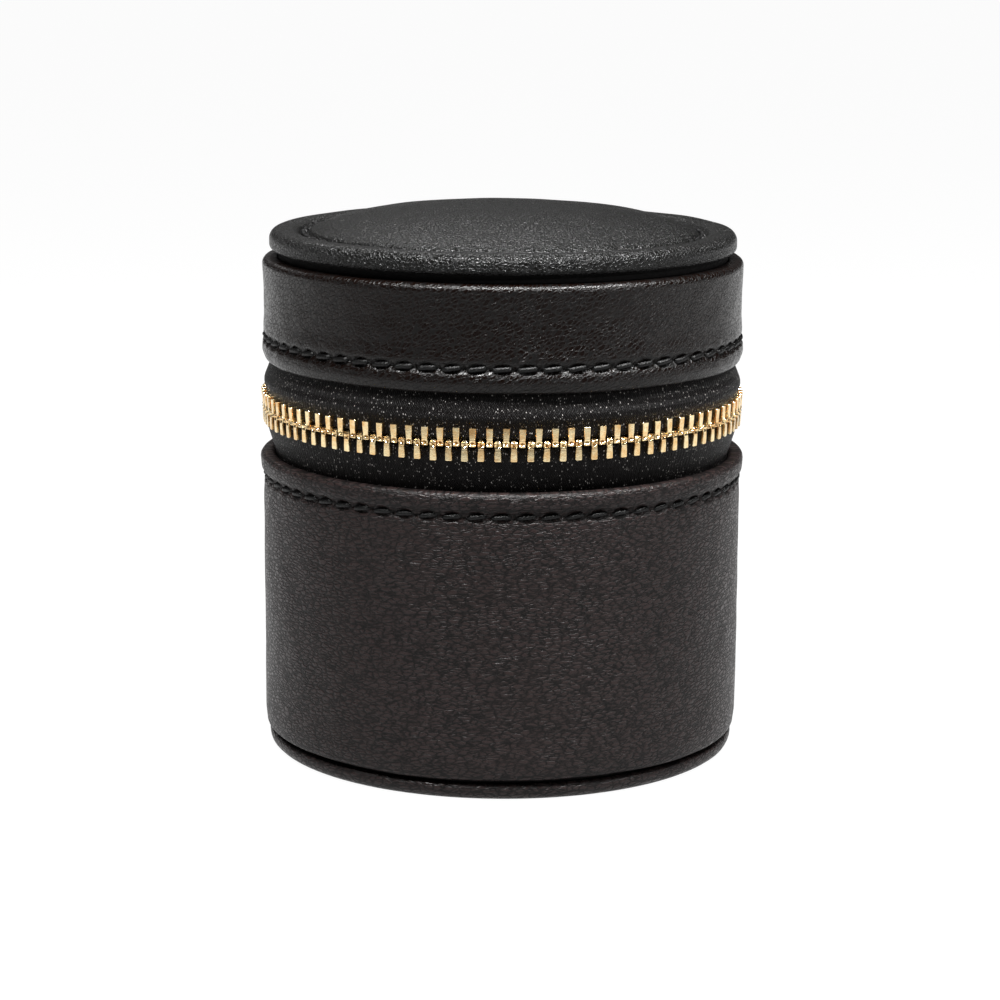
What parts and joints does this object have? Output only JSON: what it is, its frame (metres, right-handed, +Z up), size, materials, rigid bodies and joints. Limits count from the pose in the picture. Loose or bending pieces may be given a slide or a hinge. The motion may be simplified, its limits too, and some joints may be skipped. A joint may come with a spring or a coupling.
{
  "type": "leather jewellery case",
  "caption": "Small round black leather jewellery case with a padded hinged lid, a metal zip round its side and padded ring rolls inside.",
  "frame": {"origin": "centre of the foot's underside", "axes": "+Z up along the case's axis, -Y towards the front, the hinge on the +Y side"},
  "size_m": [0.0622, 0.0622, 0.069],
  "materials": {
    "black_leather": "fine-grained black leather with a soft sheen",
    "greyboard": "dense pulp board, painted black at its edges",
    "suede_lining": "short-napped microsuede",
    "thread": "waxed black thread",
    "foam": "open-cell foam",
    "zip_tape": "tight black weave",
    "gold_metal": "polished gold plate"
  },
  "bodies": {
    "body": {"base_leather": "black_leather", "base_board": "greyboard", "body_leather_wall": "black_leather", "body_outer_board": "greyboard", "body_inner_board": "greyboard", "body_lining": "suede_lining", "body_stitching": "thread", "floor_board": "greyboard", "floor_lining": "suede_lining", "ring_rolls": "suede_lining", "zip_tape_lower": "zip_tape", "zip_teeth_lower": "gold_metal", "zip_stops_lower": "gold_metal", "hinge_leather": "black_leather", "hinge_lining": "suede_lining", "hinge_stitching": "thread"},
    "lid": {"lid_band_leather": "black_leather", "lid_outer_board": "greyboard", "lid_inner_board": "greyboard", "lid_lining_wall": "suede_lining", "lid_lining_disc": "suede_lining", "lid_stitching": "thread", "lid_top_board": "greyboard", "lid_top_leather": "black_leather", "lid_top_padding": "foam", "lid_top_stitching": "thread", "zip_tape_upper": "zip_tape", "zip_teeth_upper": "gold_metal", "zip_stops_upper": "gold_metal"},
    "slider": {"slider_body": "gold_metal", "slider_bail": "gold_metal"},
    "pull": {"zip_pull": "gold_metal"}
  },
  "joints": [
    {"name": "lid_hinge", "type": "hinge", "parent": "body", "child": "lid", "pos_m": [0, 0.0294, 0.0439], "axis": [-1, 0, 0], "range_deg": [0, 110], "deforming": ["zip_tape_upper", "zip_teeth_upper", "zip_stops_upper", "zip_tape_lower", "zip_teeth_lower", "zip_stops_lower", "hinge_leather", "hinge_lining", "hinge_stitching"]},
    {"name": "zip_slide", "type": "hinge", "parent": "body", "child": "slider", "pos_m": [0, 0, 0.0439], "axis": [0, 0, -1], "range_deg": [0, 296], "deforming": ["zip_tape_upper", "zip_teeth_upper", "zip_tape_lower", "zip_teeth_lower"]},
    {"name": "pull_pivot", "type": "hinge", "parent": "slider", "child": "pull", "pos_m": [0.01773, 0.02837, 0.0439], "axis": [0.848, -0.5299, 0], "range_deg": [-5, 150]}
  ]
}
